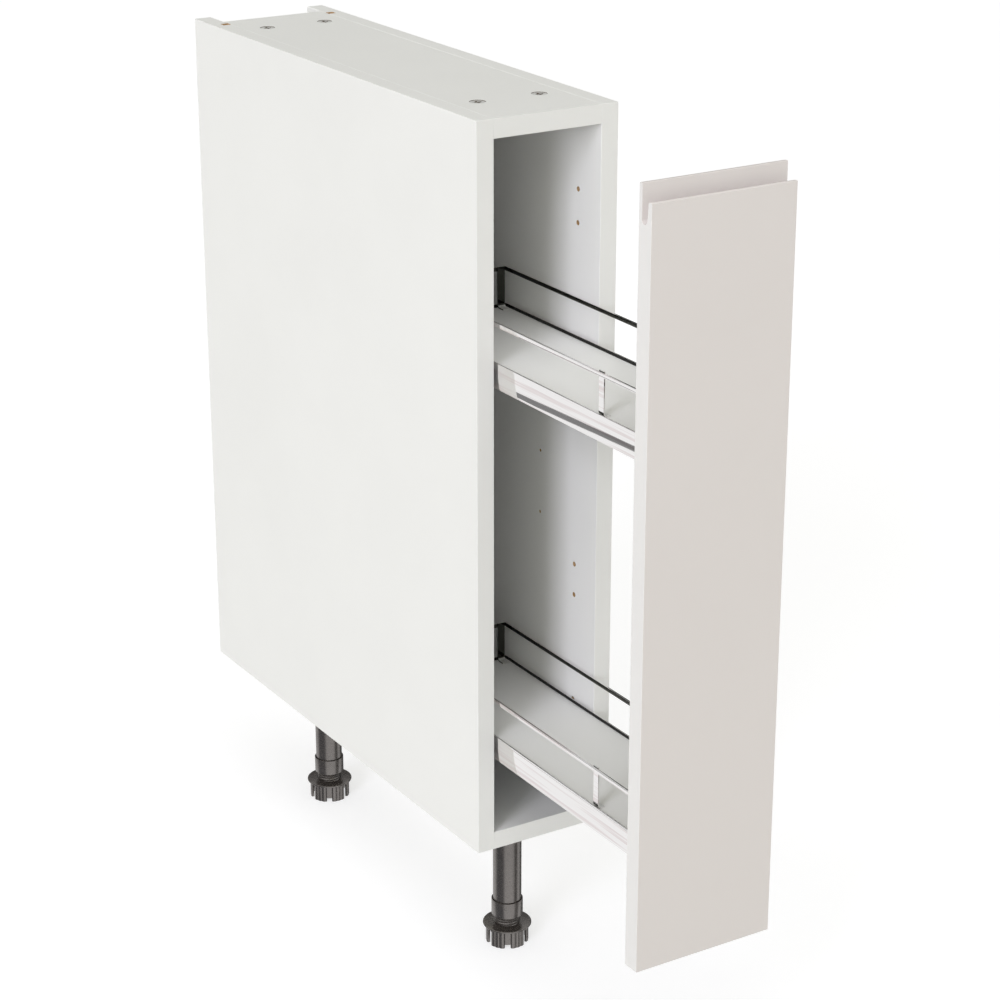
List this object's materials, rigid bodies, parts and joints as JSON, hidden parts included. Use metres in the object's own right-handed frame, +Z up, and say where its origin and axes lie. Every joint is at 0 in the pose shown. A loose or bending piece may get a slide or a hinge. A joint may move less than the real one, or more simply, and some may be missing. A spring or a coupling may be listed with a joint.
{
  "type": "pull-out base cabinet",
  "caption": "Narrow kitchen base cabinet on screw legs; its full-height front with a grip groove draws out railed trays on ball runners.",
  "frame": {"origin": "on the floor, under the middle of the object's bounding box as it stands with its front drawn out by 247 mm; the carcass front is at y = -0.14925 m", "axes": "+X to the right for someone who faces the front, +Y from the front to the rear, +Z up"},
  "size_m": [0.15, 0.8314, 0.87],
  "materials": {
    "white_board": "matt white melamine face on chipboard",
    "front_board": "smooth satin lacquered front in warm light grey",
    "beech": "bare turned beech",
    "polished_steel": "mirror polished chrome plating",
    "zinc_steel": "bright zinc plated sheet steel",
    "cast_zinc": "dull cast zinc",
    "ball_steel": "polished bearing steel",
    "leg_plastic": "glossy dark grey-brown moulding"
  },
  "bodies": {
    "cabinet": {"side_panel_left": "white_board", "side_panel_right": "white_board", "top_panel": "white_board", "bottom_panel": "white_board", "back_panel": "white_board", "top_cams": "cast_zinc", "bottom_cams": "cast_zinc", "cam_bolts": "zinc_steel", "panel_dowels": "beech", "front_leg_socket": "leg_plastic", "rear_leg_socket": "leg_plastic", "socket_screws": "zinc_steel", "front_leg_tube": "leg_plastic", "rear_leg_tube": "leg_plastic", "upper_runner_outer": "zinc_steel", "lower_runner_outer": "zinc_steel", "runner_screws": "zinc_steel"},
    "front_foot": {"front_foot": "leg_plastic"},
    "rear_foot": {"rear_foot": "leg_plastic"},
    "pullout": {"door_front": "front_board", "upper_tray_frame": "polished_steel", "lower_tray_frame": "polished_steel", "upper_tray_board": "white_board", "lower_tray_board": "white_board", "upper_rail": "polished_steel", "lower_rail": "polished_steel", "upper_rail_posts": "polished_steel", "lower_rail_posts": "polished_steel", "upper_carrier": "zinc_steel", "lower_carrier": "zinc_steel", "upper_front_bracket": "zinc_steel", "lower_front_bracket": "zinc_steel", "front_screws": "zinc_steel", "tray_screws": "zinc_steel", "carrier_rivets": "zinc_steel", "upper_runner_inner": "zinc_steel", "lower_runner_inner": "zinc_steel"},
    "upper_runner_middle": {"upper_runner_middle": "zinc_steel"},
    "upper_outer_cage": {"upper_outer_cage": "zinc_steel", "upper_outer_balls": "ball_steel"},
    "upper_inner_cage": {"upper_inner_cage": "zinc_steel", "upper_inner_balls": "ball_steel"},
    "lower_runner_middle": {"lower_runner_middle": "zinc_steel"},
    "lower_outer_cage": {"lower_outer_cage": "zinc_steel", "lower_outer_balls": "ball_steel"},
    "lower_inner_cage": {"lower_inner_cage": "zinc_steel", "lower_inner_balls": "ball_steel"}
  },
  "joints": [
    {"name": "pullout_slide", "type": "slide", "parent": "cabinet", "child": "pullout", "axis": [0, -1, 0], "range_m": [-0.247, 0.153]},
    {"name": "upper_runner_middle_slide", "type": "slide", "parent": "cabinet", "child": "upper_runner_middle", "axis": [0, -1, 0], "range_m": [-0.1245, 0.0775]},
    {"name": "upper_outer_cage_slide", "type": "slide", "parent": "cabinet", "child": "upper_outer_cage", "axis": [0, -1, 0], "range_m": [-0.06275, 0.03925]},
    {"name": "upper_inner_cage_slide", "type": "slide", "parent": "cabinet", "child": "upper_inner_cage", "axis": [0, -1, 0], "range_m": [-0.18625, 0.11575]},
    {"name": "lower_runner_middle_slide", "type": "slide", "parent": "cabinet", "child": "lower_runner_middle", "axis": [0, -1, 0], "range_m": [-0.1245, 0.0775]},
    {"name": "lower_outer_cage_slide", "type": "slide", "parent": "cabinet", "child": "lower_outer_cage", "axis": [0, -1, 0], "range_m": [-0.06275, 0.03925]},
    {"name": "lower_inner_cage_slide", "type": "slide", "parent": "cabinet", "child": "lower_inner_cage", "axis": [0, -1, 0], "range_m": [-0.18625, 0.11575]},
    {"name": "front_foot_adjust", "type": "slide", "parent": "cabinet", "child": "front_foot", "axis": [0, 0, 1], "range_m": [-0.02, 0.009]},
    {"name": "rear_foot_adjust", "type": "slide", "parent": "cabinet", "child": "rear_foot", "axis": [0, 0, 1], "range_m": [-0.02, 0.009]}
  ],
  "couplings": [
    {"joint": "upper_runner_middle_slide", "follows": "pullout_slide", "ratio": 0.5},
    {"joint": "upper_outer_cage_slide", "follows": "pullout_slide", "ratio": 0.25},
    {"joint": "upper_inner_cage_slide", "follows": "pullout_slide", "ratio": 0.75},
    {"joint": "lower_runner_middle_slide", "follows": "pullout_slide", "ratio": 0.5},
    {"joint": "lower_outer_cage_slide", "follows": "pullout_slide", "ratio": 0.25},
    {"joint": "lower_inner_cage_slide", "follows": "pullout_slide", "ratio": 0.75}
  ]
}
